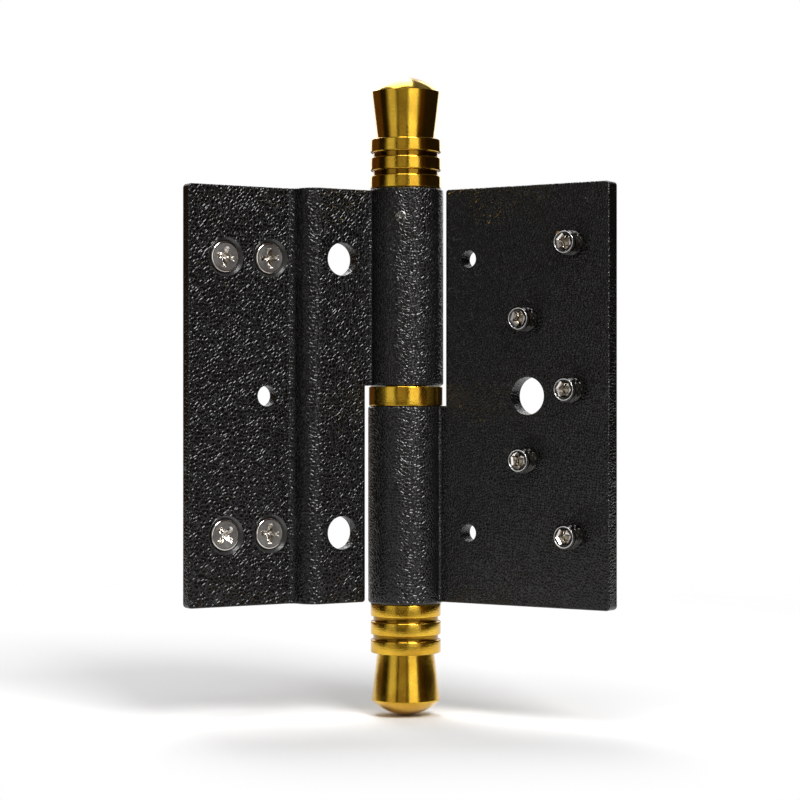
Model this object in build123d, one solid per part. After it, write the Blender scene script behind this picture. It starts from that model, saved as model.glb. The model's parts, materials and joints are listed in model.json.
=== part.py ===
from build123d import *
import os

# Door hinge with a cranked door leaf, a frame leaf with jacking screws and a
# stacked barrel. Millimetres, +Z up along the pin.
# The origin is on the back (seating) face of the frame leaf at mid-height.
# The frame leaf runs from the barrel along +X, and +Y points into the frame.
# Every leaf is drawn with the pin axis as its own origin and the leaf along +X.

# Driving dimensions: leaves
LEAF_HEIGHT = 100.0
LEAF_REACH = 56.0          # pin axis to the far edge of either leaf
DOOR_PLATE = 3.0           # thickness of the door leaf
FRAME_PLATE = 4.0          # thickness of the frame leaf
FACE_SETBACK = 1.0         # leaf front faces lie this far behind the pin axis
REST_OPENING = 114.0       # angle between the leaf faces in the photographed pose
CRANK_DROP = 5.8           # step between the two flats of the door leaf
CRANK_START = 25.3         # pin axis to the start of the step, on the mid-plane
CRANK_RUN = 1.45
CRANK_BEND = 3.1           # bend radius on the mid-plane
LEAF_CORNER = 1.0
LEAF_EDGE = 0.35           # coated edges are slightly round
LEAF_GAP = 1.45            # gap between a leaf and the knuckle it is not welded to
WELD_R = 1.5               # bead along the back of each leaf, where it meets its knuckle

# Driving dimensions: barrel
KNUCKLE_D = 18.4
KNUCKLE_BORE = 12.4
KNUCKLE_OVERHANG = 0.5     # a knuckle's outer end stands past the leaf by this much
KNUCKLE_EDGE = 0.7
RING_D = 18.0
RING_HEIGHT = 4.8
RING_PLAY = 0.1            # free height between the ring and the upper knuckle
JOURNAL_D = 10.0
JOURNAL_PLAY = 0.05        # radial play of the pin in its bush
PIN_TOP = 36.0
PIN_BOTTOM = -38.0
PIN_CHAMFER = 1.0
BUSH_TOP = 38.0

# Driving dimensions: finials
SPIGOT_LENGTH = 11.0
COLLAR_D = 17.2
COLLAR_RIB = 3.2
COLLAR_GROOVE = 1.25
GROOVE_DEPTH = 0.65
RIB_COUNT = 3
RIB_EDGE = 0.4
NECK_D = 13.9
RIM_D = 16.7
FLARE_LENGTH = 11.4
RIM_BAND = 0.25
CAP_HEIGHT = 4.0
CROWN_FULLNESS = 0.65      # height of the crown at its shoulder, as a share of the whole
CROWN_SHOULDER = 0.6       # radius of that shoulder, as a share of the rim
POINT_R = 0.4              # blunted point of the crown

# Driving dimensions: lock pins that hold the finials
LOCK_PIN_D = 2.8
LOCK_PIN_LENGTH = 8.0
CENTRE_MARK_D = 0.7        # coned mark in the middle of a lock pin's outer end
CENTRE_MARK_DEPTH = 0.45
UPPER_PIN_INSET = 7.2      # distance from a knuckle's outer end to its lock pin
LOWER_PIN_INSET = 4.4
LOCK_PIN_ANGLE = 50.0      # turned from the leaf towards its front

# Driving dimensions: holes and screws
NEAR_COLUMN = 34.0         # pin axis to the nearer column of screws
FAR_COLUMN = 46.0
ROW_HALF_SPACING = 33.0    # rows of screws and holes above and below mid-height
DOWEL_COLUMN = 17.5
DOWEL_SOCKET_D = 8.0
DOWEL_THREAD_D = 4.2
SPARE_COLUMN = 35.0
SPARE_HOLE_D = 5.0
ACCESS_COLUMN = 34.0
ACCESS_HOLE_D = 9.0

DOOR_SCREW_D = 4.0
DOOR_SCREW_HEAD_D = 7.5
DOOR_SCREW_NECK_D = 3.4    # thinner under the head; the full width starts at the leaf's back
DOOR_SCREW_LENGTH = 16.0   # from the top of the head to the tip
HEAD_SINK = 0.25           # the head lies this far below the leaf's face
HEAD_RIM = 0.6
SCREW_HOLE_D = 4.4
COUNTERSINK_PLAY = 0.06
CROSS_SPAN = 4.5
CROSS_WING = 1.05
CROSS_DEPTH = 1.7
CROSS_TAPER = 14.0
SCREW_TIP = 0.8
SCREW_TURNS = [10, 5, 45, 7]    # how far each recess is turned, in degrees

JACK_D = 6.0
JACK_LENGTH = 8.0
JACK_PLAY = 0.05           # radial play of a jacking screw in its hole
JACK_NEAR_COLUMN = 33.6    # pin axis to the two jacking screws nearer to it
JACK_FAR_COLUMN = 46.0
JACK_NEAR_PITCH = 33.5
JACK_FAR_PITCH = 34.4
JACK_CENTRE_Z = 1.5
JACK_CHAMFER = 0.45
JACK_KEY = 3.0             # across the flats of the hexagon socket
JACK_KEY_DEPTH = 3.4
JACK_MOUTH_D = 4.3         # the socket's mouth is coned out to this width
JACK_MOUTH_DEPTH = 0.45
JACK_DRILL_DEPTH = 0.9
JACK_CUP_D = 3.0
JACK_CUP_DEPTH = 0.8
JACK_TURNS = [12, 40, 25, 5, 33]

# Derived sizes and places
HALF_HEIGHT = LEAF_HEIGHT / 2
BARREL_END = HALF_HEIGHT + KNUCKLE_OVERHANG
KNUCKLE_R = KNUCKLE_D / 2
BORE_R = KNUCKLE_BORE / 2
RING_HALF = RING_HEIGHT / 2
UPPER_FOOT = RING_HALF + RING_PLAY
LOWER_HEAD = -RING_HALF
CLEAR_EDGE = KNUCKLE_R + LEAF_GAP
COLLAR_LENGTH = RIB_COUNT * COLLAR_RIB + (RIB_COUNT - 1) * COLLAR_GROOVE
FRAME_BACK = FACE_SETBACK + FRAME_PLATE
SEAT_X = 25.0              # pin axis to the origin, along the frame leaf
ON_FRAME_SIDE = Pos(-SEAT_X, -FRAME_BACK, 0)
ON_DOOR_SIDE = ON_FRAME_SIDE * Rot(0, 0, -REST_OPENING)
DOOR_FLAT_MID = -FACE_SETBACK - DOOR_PLATE / 2
DOOR_SEAT_MID = DOOR_FLAT_MID - CRANK_DROP
DOOR_SEAT_FRONT = DOOR_SEAT_MID + DOOR_PLATE / 2
DOOR_SCREW_PLACES = [
    (column, row)
    for row in (ROW_HALF_SPACING, -ROW_HALF_SPACING)
    for column in (FAR_COLUMN, NEAR_COLUMN)
]
JACK_PLACES = [
    (JACK_FAR_COLUMN, JACK_CENTRE_Z + JACK_FAR_PITCH),
    (JACK_NEAR_COLUMN, JACK_CENTRE_Z + JACK_NEAR_PITCH / 2),
    (JACK_FAR_COLUMN, JACK_CENTRE_Z),
    (JACK_NEAR_COLUMN, JACK_CENTRE_Z - JACK_NEAR_PITCH / 2),
    (JACK_FAR_COLUMN, JACK_CENTRE_Z - JACK_FAR_PITCH),
]
CUT = 200.0                # long enough to cut through anything here


def rod(radius, z_low, z_high):
    """A round bar about Z between two heights."""
    height = z_high - z_low
    return Pos(0, 0, z_low + height / 2) * Cylinder(radius, height)


def slab(x_low, x_high, y_low, y_high, z_low, z_high):
    """A block given by its limits."""
    centre = Pos((x_low + x_high) / 2, (y_low + y_high) / 2, (z_low + z_high) / 2)
    return centre * Box(x_high - x_low, y_high - y_low, z_high - z_low)


def turned(points):
    """A body of revolution about Z from an outline of (radius, height) points."""
    outline = make_face(Polyline(*[(r, 0, z) for r, z in points], close=True))
    return revolve(outline, axis=Axis.Z)


def across_leaf(column, row, radius):
    """A drill through a leaf, square to its face."""
    return Pos(column, 0, row) * Rot(90, 0, 0) * Cylinder(radius, CUT)


def round_leaf_edges(leaf):
    """Round the far corners of a leaf, then the rims of its ends."""
    far_corners = leaf.edges().filter_by(Axis.Y).group_by(Axis.X)[-1]
    leaf = fillet(far_corners, LEAF_CORNER)
    rims = [
        edge for edge in leaf.edges() - leaf.edges().filter_by(Axis.Y)
        if edge.center().X > LEAF_REACH - LEAF_CORNER
        or abs(edge.center().Z) > HALF_HEIGHT - LEAF_EDGE and edge.center().X > 0
    ]
    return fillet(rims, LEAF_EDGE)


def fit_to_barrel(leaf, back, low, high):
    """Cut a leaf clear of one knuckle and weld it to the other, from low to high.

    back is the y of the leaf's back face beside the barrel.
    """
    free_low, free_high = (-CUT, low) if low > -HALF_HEIGHT else (high, CUT)
    leaf -= slab(-CUT, CLEAR_EDGE, -CUT, CUT, free_low, free_high)
    free_corner = [
        edge for edge in leaf.edges().filter_by(Axis.Y)
        if abs(edge.center().X - CLEAR_EDGE) < LEAF_EDGE and abs(edge.center().Z) > HALF_HEIGHT - LEAF_EDGE
    ]
    leaf = fillet(free_corner, LEAF_CORNER) if free_corner else leaf
    crevice_x = (KNUCKLE_R**2 - back**2) ** 0.5
    leaf += Pos(crevice_x, back, 0) * rod(WELD_R, low + WELD_R, high - WELD_R)
    leaf -= rod(KNUCKLE_R, -CUT, CUT)
    return leaf - slab(-CUT, 0, -CUT, CUT, -CUT, CUT)


def door_leaf():
    """The cranked plate, welded to the upper knuckle and clear of the lower one."""
    mid_line = FilletPolyline(
        (0, DOOR_FLAT_MID),
        (CRANK_START, DOOR_FLAT_MID),
        (CRANK_START + CRANK_RUN, DOOR_SEAT_MID),
        (LEAF_REACH, DOOR_SEAT_MID),
        radius=CRANK_BEND,
    )
    leaf = extrude(trace(mid_line, line_width=DOOR_PLATE), amount=HALF_HEIGHT, both=True)
    leaf = round_leaf_edges(leaf)
    leaf = fit_to_barrel(leaf, DOOR_FLAT_MID - DOOR_PLATE / 2, UPPER_FOOT, HALF_HEIGHT)
    for row in (ROW_HALF_SPACING, -ROW_HALF_SPACING):
        leaf -= across_leaf(DOWEL_COLUMN, row, DOWEL_SOCKET_D / 2)
    leaf -= across_leaf(SPARE_COLUMN, 0, SPARE_HOLE_D / 2)
    for column, row in DOOR_SCREW_PLACES:
        leaf -= across_leaf(column, row, SCREW_HOLE_D / 2)
        leaf -= door_screw_place(column, row) * countersink()
    return leaf


def frame_leaf():
    """The flat plate, welded to the lower knuckle and clear of the upper one."""
    leaf = slab(0, LEAF_REACH, FACE_SETBACK, FRAME_BACK, -HALF_HEIGHT, HALF_HEIGHT)
    leaf = round_leaf_edges(leaf)
    leaf = fit_to_barrel(leaf, FRAME_BACK, -HALF_HEIGHT, LOWER_HEAD)
    for row in (ROW_HALF_SPACING, -ROW_HALF_SPACING):
        leaf -= across_leaf(DOWEL_COLUMN, row, DOWEL_THREAD_D / 2)
    leaf -= across_leaf(ACCESS_COLUMN, 0, ACCESS_HOLE_D / 2)
    for column, row in JACK_PLACES:
        leaf -= across_leaf(column, row, JACK_D / 2 + JACK_PLAY)
    return leaf


def lock_pin_place(height, side):
    """Where a lock pin starts: on the barrel's surface, with +Z pointing inwards."""
    return Pos(0, 0, height) * Rot(0, 0, side * LOCK_PIN_ANGLE) * Pos(KNUCKLE_R, 0, 0) * Rot(0, -90, 0)


def lock_pin(pin_place):
    """A solid pin, ground flush with the barrel, with a centre mark in its end."""
    mark_r = CENTRE_MARK_D / 2
    mark = turned([(0, CENTRE_MARK_DEPTH), (mark_r, 0), (mark_r, -KNUCKLE_EDGE), (0, -KNUCKLE_EDGE)])
    pin = pin_place * (lock_pin_hole() - mark)
    return pin & rod(KNUCKLE_R, -BARREL_END, BARREL_END)


def lock_pin_hole():
    """The blind hole that a lock pin fills."""
    return rod(LOCK_PIN_D / 2, -KNUCKLE_EDGE, LOCK_PIN_LENGTH)


def knuckle(z_low, z_high, pin_place):
    """A length of tube with rounded rims and a cross hole for its lock pin."""
    tube = rod(KNUCKLE_R, z_low, z_high)
    tube = fillet(tube.edges().filter_by(GeomType.CIRCLE), KNUCKLE_EDGE)
    tube -= rod(BORE_R, z_low, z_high)
    return tube - pin_place * lock_pin_hole()


def hinge_pin():
    """A stepped pin: pressed into the lower knuckle, turned down above it."""
    journal_r = JOURNAL_D / 2
    return turned([
        (0, PIN_BOTTOM),
        (BORE_R - PIN_CHAMFER, PIN_BOTTOM),
        (BORE_R, PIN_BOTTOM + PIN_CHAMFER),
        (BORE_R, LOWER_HEAD),
        (journal_r, LOWER_HEAD),
        (journal_r, PIN_TOP - PIN_CHAMFER),
        (journal_r - PIN_CHAMFER, PIN_TOP),
        (0, PIN_TOP),
    ])


def upper_bush():
    """A plain sleeve that lines the upper knuckle."""
    return rod(BORE_R, UPPER_FOOT, BUSH_TOP) - rod(JOURNAL_D / 2 + JOURNAL_PLAY, UPPER_FOOT, BUSH_TOP)


def thrust_ring():
    """The ring between the knuckles that carries the weight of the door."""
    ring = rod(RING_D / 2, -RING_HALF, RING_HALF)
    ring = fillet(ring.edges().filter_by(GeomType.CIRCLE), RIB_EDGE)
    return ring - rod(JOURNAL_D / 2, -RING_HALF, RING_HALF)


def finial_outline():
    """Half of the finial's section: spigot, collar, flared neck and crown."""
    collar_r = COLLAR_D / 2
    rim_r = RIM_D / 2
    rim_z = COLLAR_LENGTH + FLARE_LENGTH
    crown_z = rim_z + RIM_BAND
    crown_height = CAP_HEIGHT - RIM_BAND
    sides = Polyline(
        (0, crown_z + crown_height),
        (0, -SPIGOT_LENGTH),
        (BORE_R, -SPIGOT_LENGTH),
        (BORE_R, 0),
        (collar_r, 0),
        (collar_r, COLLAR_LENGTH),
        (NECK_D / 2, COLLAR_LENGTH),
        (rim_r, rim_z),
        (rim_r, crown_z),
    )
    shoulder = (rim_r * CROWN_SHOULDER, crown_z + crown_height * CROWN_FULLNESS)
    point = (POINT_R, crown_z + crown_height)
    crown = ThreePointArc((rim_r, crown_z), shoulder, point)
    return make_face(sides + crown + Line(point, (0, crown_z + crown_height)))


def finial(pin_place):
    """A turned cap above z = 0 with a spigot below it, drawn for the top end."""
    collar_r = COLLAR_D / 2
    body = revolve(Plane.XZ * finial_outline(), axis=Axis.Z)
    for index in range(RIB_COUNT - 1):
        groove_low = (index + 1) * COLLAR_RIB + index * COLLAR_GROOVE
        groove = rod(collar_r + 1, groove_low, groove_low + COLLAR_GROOVE)
        body -= groove - rod(collar_r - GROOVE_DEPTH, groove_low, groove_low + COLLAR_GROOVE)
    rib_rims = [
        edge for edge in body.edges().filter_by(GeomType.CIRCLE)
        if abs(edge.radius - collar_r) < 0.01 and edge.center().Z > 0
    ]
    body = fillet(rib_rims, RIB_EDGE)
    return body - pin_place * lock_pin_hole()


def door_screw_place(column, row):
    """On the seat of the door leaf, with +Z out of its front face."""
    return Pos(column, DOOR_SEAT_FRONT, row) * Rot(-90, 0, 0)


def countersink():
    """The conical seat for a screw head, as wide as it is at the leaf's face."""
    head_r = DOOR_SCREW_HEAD_D / 2 + COUNTERSINK_PLAY
    cone_top = HEAD_SINK + HEAD_RIM
    mouth_r = head_r + 2 * cone_top
    return turned([(0, -cone_top - head_r), (mouth_r, cone_top), (0, cone_top)])


def door_screw(turn):
    """A countersunk screw with a cross recess, its head up and its tip down."""
    head_r = DOOR_SCREW_HEAD_D / 2
    neck_r = DOOR_SCREW_NECK_D / 2
    shank_r = DOOR_SCREW_D / 2
    cone_top = -HEAD_SINK - HEAD_RIM
    tip_z = -HEAD_SINK - DOOR_SCREW_LENGTH
    screw = turned([
        (0, tip_z),
        (shank_r - SCREW_TIP, tip_z),
        (shank_r, tip_z + SCREW_TIP),
        (shank_r, -DOOR_PLATE),
        (neck_r, -DOOR_PLATE),
        (neck_r, cone_top - head_r + neck_r),
        (head_r, cone_top),
        (head_r, -HEAD_SINK),
        (0, -HEAD_SINK),
    ])
    cross = Rectangle(CROSS_SPAN, CROSS_WING) + Rectangle(CROSS_WING, CROSS_SPAN)
    recess = extrude(Pos(0, 0, -HEAD_SINK) * cross, amount=-CROSS_DEPTH, taper=CROSS_TAPER)
    return screw - Rot(0, 0, turn) * recess


def jack_place(column, row):
    """On the frame leaf's back face, with +Z out of its front."""
    return Pos(column, FRAME_BACK, row) * Rot(90, 0, 0)


def jack_screw(turn):
    """A headless screw with a hexagon socket and a cup point."""
    screw = rod(JACK_D / 2, 0, JACK_LENGTH)
    screw = chamfer(screw.edges().filter_by(GeomType.CIRCLE), JACK_CHAMFER)
    socket_floor = JACK_LENGTH - JACK_KEY_DEPTH
    hexagon = RegularPolygon(JACK_KEY / 2, 6, major_radius=False)
    screw -= Pos(0, 0, socket_floor) * Rot(0, 0, turn) * extrude(hexagon, amount=CUT)
    mouth_r = JACK_MOUTH_D / 2
    mouth_floor = JACK_LENGTH - JACK_MOUTH_DEPTH
    screw -= turned([(0, mouth_floor), (JACK_KEY / 2, mouth_floor), (mouth_r, JACK_LENGTH), (0, JACK_LENGTH)])
    drill_r = JACK_KEY / 2
    screw -= turned([(0, socket_floor - JACK_DRILL_DEPTH), (drill_r, socket_floor), (0, socket_floor)])
    screw -= turned([(0, JACK_CUP_DEPTH), (JACK_CUP_D / 2, 0), (0, 0)])
    return screw


def door_side():
    """Pieces that swing with the door, in the leaf's own place."""
    pin_place = lock_pin_place(BARREL_END - UPPER_PIN_INSET, 1)
    on_top = Pos(0, 0, BARREL_END)
    pieces = {
        "door_leaf": door_leaf(),
        "upper_knuckle": knuckle(UPPER_FOOT, BARREL_END, pin_place),
        "upper_bush": upper_bush(),
        "upper_finial": on_top * finial(on_top.inverse() * pin_place),
        "upper_lock_pin": lock_pin(pin_place),
    }
    for number, (column, row) in enumerate(DOOR_SCREW_PLACES, start=1):
        turn = SCREW_TURNS[number - 1]
        pieces[f"door_screw_{number}"] = door_screw_place(column, row) * door_screw(turn)
    return pieces


def frame_side():
    """Pieces that stay with the frame."""
    pin_place = lock_pin_place(LOWER_PIN_INSET - BARREL_END, -1)
    on_bottom = Pos(0, 0, -BARREL_END) * Rot(180, 0, 0)
    pieces = {
        "frame_leaf": frame_leaf(),
        "lower_knuckle": knuckle(-BARREL_END, LOWER_HEAD, pin_place),
        "hinge_pin": hinge_pin(),
        "thrust_ring": thrust_ring(),
        "lower_finial": on_bottom * finial(on_bottom.inverse() * pin_place),
        "lower_lock_pin": lock_pin(pin_place),
    }
    for number, (column, row) in enumerate(JACK_PLACES, start=1):
        turn = JACK_TURNS[number - 1]
        pieces[f"jack_screw_{number}"] = jack_place(column, row) * jack_screw(turn)
    return pieces


def main():
    os.makedirs("parts", exist_ok=True)
    for place, pieces in ((ON_DOOR_SIDE, door_side()), (ON_FRAME_SIDE, frame_side())):
        for name, piece in pieces.items():
            export_step(place * piece, f"parts/{name}.step")


main()
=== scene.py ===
"""Looks of a door hinge: coated leaves, turned brass, threaded screws, studio and camera.

Lengths of the hinge are in millimetres in its own classes and become metres in the meshes.
Every piece is drawn in a local frame and set in place by one of the matrices of Places.
"""

import json
import logging
import math
from dataclasses import dataclass
from enum import Enum
from typing import Callable, Sequence, Union

import bmesh
import bpy
from mathutils import Matrix, Vector

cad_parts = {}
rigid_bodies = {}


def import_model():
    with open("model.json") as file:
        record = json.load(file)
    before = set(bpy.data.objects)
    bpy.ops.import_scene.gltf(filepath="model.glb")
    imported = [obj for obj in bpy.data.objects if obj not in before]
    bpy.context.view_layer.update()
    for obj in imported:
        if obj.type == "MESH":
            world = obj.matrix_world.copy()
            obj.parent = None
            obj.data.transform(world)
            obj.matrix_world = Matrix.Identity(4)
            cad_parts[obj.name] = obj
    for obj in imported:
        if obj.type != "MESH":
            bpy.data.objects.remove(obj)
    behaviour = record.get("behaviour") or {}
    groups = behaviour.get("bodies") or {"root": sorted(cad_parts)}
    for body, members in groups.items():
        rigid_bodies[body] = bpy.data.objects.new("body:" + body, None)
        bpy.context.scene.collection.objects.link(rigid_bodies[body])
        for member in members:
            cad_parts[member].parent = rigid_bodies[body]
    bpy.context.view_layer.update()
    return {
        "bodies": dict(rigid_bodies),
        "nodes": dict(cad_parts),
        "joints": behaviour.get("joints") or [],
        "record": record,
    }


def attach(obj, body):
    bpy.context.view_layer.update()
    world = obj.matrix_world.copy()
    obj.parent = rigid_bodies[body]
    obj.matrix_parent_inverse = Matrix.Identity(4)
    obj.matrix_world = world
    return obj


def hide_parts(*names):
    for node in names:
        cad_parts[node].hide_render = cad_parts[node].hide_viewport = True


Triple = tuple[float, float, float]
Colour = Triple
AlongAngle = Union[float, Callable[[float], float]]
Socket = bpy.types.NodeSocket

BLACK: Colour = (0.0, 0.0, 0.0)
NOISE_SPAN = (0.3, 0.7)
LOG = logging.getLogger("hinge")


class Side(Enum):
    """The two halves of the hinge, named as their bodies in the frame."""

    DOOR = "door_side"
    FRAME = "frame_side"


class Slot(Enum):
    """Material slots of the record, one named with each new piece."""

    COAT = "coated_steel"
    BRASS = "brass"
    ZINC = "zinc_steel"
    SPRING = "spring_steel"


class Places:
    """Where the pin axis and the two leaves lie in the frame, in millimetres."""

    REST_OPENING = 114.0
    PIN_AXIS = Vector((-25.0, -5.0, 0.0))
    TO_METRES = Matrix.Scale(0.001, 4)
    FRAME_LEAF = Matrix.Translation(PIN_AXIS)
    DOOR_LEAF = FRAME_LEAF @ Matrix.Rotation(math.radians(-REST_OPENING), 4, "Z")

    @classmethod
    def of(cls, side: Side) -> Matrix:
        """The place of a leaf whose own origin is on the pin axis."""
        return cls.DOOR_LEAF if side is Side.DOOR else cls.FRAME_LEAF


def turned_about(axis: str, degrees: float) -> Matrix:
    """A turn about one of the axes X, Y or Z."""
    return Matrix.Rotation(math.radians(degrees), 4, axis)


def smooth_step(low: float, high: float, value: float) -> float:
    """0 below low, 1 above high, with an eased slope between them."""
    share = min(max((value - low) / (high - low), 0.0), 1.0)
    return share * share * (3.0 - 2.0 * share)


class RingStack:
    """A closed skin of rings about a local Z axis that share the same angles."""

    CREASE = 32.0

    def __init__(self, angles: Sequence[float]) -> None:
        """Start an empty stack.

        Args:
            angles: where each ring has its points, in radians, rising.
        """
        self.angles = list(angles)
        self.rings: list[list[Vector]] = []
        self.finishes: list[int] = []

    @classmethod
    def round(cls, count: int) -> "RingStack":
        """A stack with evenly spaced points."""
        return cls([2.0 * math.pi * index / count for index in range(count)])

    def add(self, radius: AlongAngle, height: AlongAngle, finish: int = 0) -> None:
        """Add a ring.

        Args:
            radius: one value, or a function of the angle.
            height: one value, or a function of the angle.
            finish: number of the material of the faces beside it; of two rings the higher one counts.
        """
        ring = []
        for angle in self.angles:
            r = radius(angle) if callable(radius) else radius
            z = height(angle) if callable(height) else height
            ring.append(Vector((r * math.cos(angle), r * math.sin(angle), z)))
        self.rings.append(ring)
        self.finishes.append(finish)

    def close(self, height: float, finish: int = 0) -> None:
        """Add a single point on the axis, which ends the skin there."""
        self.rings.append([Vector((0.0, 0.0, height))])
        self.finishes.append(finish)

    def outline(self, points: Sequence[tuple[float, float]], finish: int = 0) -> None:
        """Add one round ring for each (radius, height) pair."""
        for radius, height in points:
            self.add(radius, height, finish)

    def build(self, name: str, place: Matrix, crease: float = CREASE) -> bpy.types.Object:
        """Make the mesh object.

        Args:
            name: name of the piece.
            place: from the local frame to the hinge's frame, in millimetres.
            crease: faces that meet at more than this many degrees stay sharp.

        Returns:
            The new object, linked to the scene.
        """
        mesh_rings = bmesh.new()
        to_frame = Places.TO_METRES @ place
        rows = [[mesh_rings.verts.new(to_frame @ point) for point in ring] for ring in self.rings]
        for level in range(len(rows) - 1):
            finish = max(self.finishes[level], self.finishes[level + 1])
            self._bridge(mesh_rings, rows[level], rows[level + 1], finish)
        bmesh.ops.recalc_face_normals(mesh_rings, faces=mesh_rings.faces)
        return finished_object(name, mesh_rings, crease)

    def _bridge(self, target: bmesh.types.BMesh, lower: list, upper: list, finish: int) -> None:
        """Join two neighbouring rings, or a ring and a point, with faces of one finish.

        Args:
            target: mesh that gets the faces.
            lower: points of the first ring.
            upper: points of the next ring.
            finish: number of the material.
        """
        count = len(self.angles)
        for index in range(count):
            after = (index + 1) % count
            if len(lower) == 1:
                face = target.faces.new((lower[0], upper[after], upper[index]))
            elif len(upper) == 1:
                face = target.faces.new((lower[index], lower[after], upper[0]))
            else:
                face = target.faces.new((lower[index], lower[after], upper[after], upper[index]))
            face.material_index = finish


def finished_object(name: str, shape: bmesh.types.BMesh, crease: float) -> bpy.types.Object:
    """Turn a finished bmesh into a smooth-shaded object with sharp creases.

    Args:
        name: name of the piece.
        shape: its mesh, which is freed here.
        crease: angle in degrees above which an edge stays sharp.

    Returns:
        The new object, linked to the scene.
    """
    mesh = bpy.data.meshes.new(name)
    shape.to_mesh(mesh)
    shape.free()
    mesh.polygons.foreach_set("use_smooth", [True] * len(mesh.polygons))
    mesh.set_sharp_from_angle(angle=math.radians(crease))
    piece = bpy.data.objects.new(name, mesh)
    bpy.context.scene.collection.objects.link(piece)
    return piece


def rounded(corner: tuple[float, float], before: tuple[float, float], after: tuple[float, float],
            radius: float, steps: int = 5) -> list[tuple[float, float]]:
    """Points that round one corner of an outline.

    Args:
        corner: the sharp corner.
        before: the outline's point ahead of it.
        after: the outline's point behind it.
        radius: how far from the corner the rounding starts on each side.
        steps: number of spans in the rounding.

    Returns:
        The points that take the corner's place.
    """
    tip = Vector(corner)
    start = tip + (Vector(before) - tip).normalized() * radius
    end = tip + (Vector(after) - tip).normalized() * radius
    points = []
    for step in range(steps + 1):
        share = step / steps
        point = start * (1 - share) ** 2 + tip * 2 * share * (1 - share) + end * share ** 2
        points.append((point.x, point.y))
    return points


def rounded_outline(points: Sequence[tuple[float, float, float]]) -> list[tuple[float, float]]:
    """An open outline with rounded corners.

    Args:
        points: radius, height and corner rounding of each point; the ends stay as they are.

    Returns:
        The finer outline as (radius, height) pairs.
    """
    plain = [(point[0], point[1]) for point in points]
    result = [plain[0]]
    for index in range(1, len(points) - 1):
        if points[index][2] > 0:
            result += rounded(plain[index], plain[index - 1], plain[index + 1], points[index][2])
        else:
            result.append(plain[index])
    return result + [plain[-1]]


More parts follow.
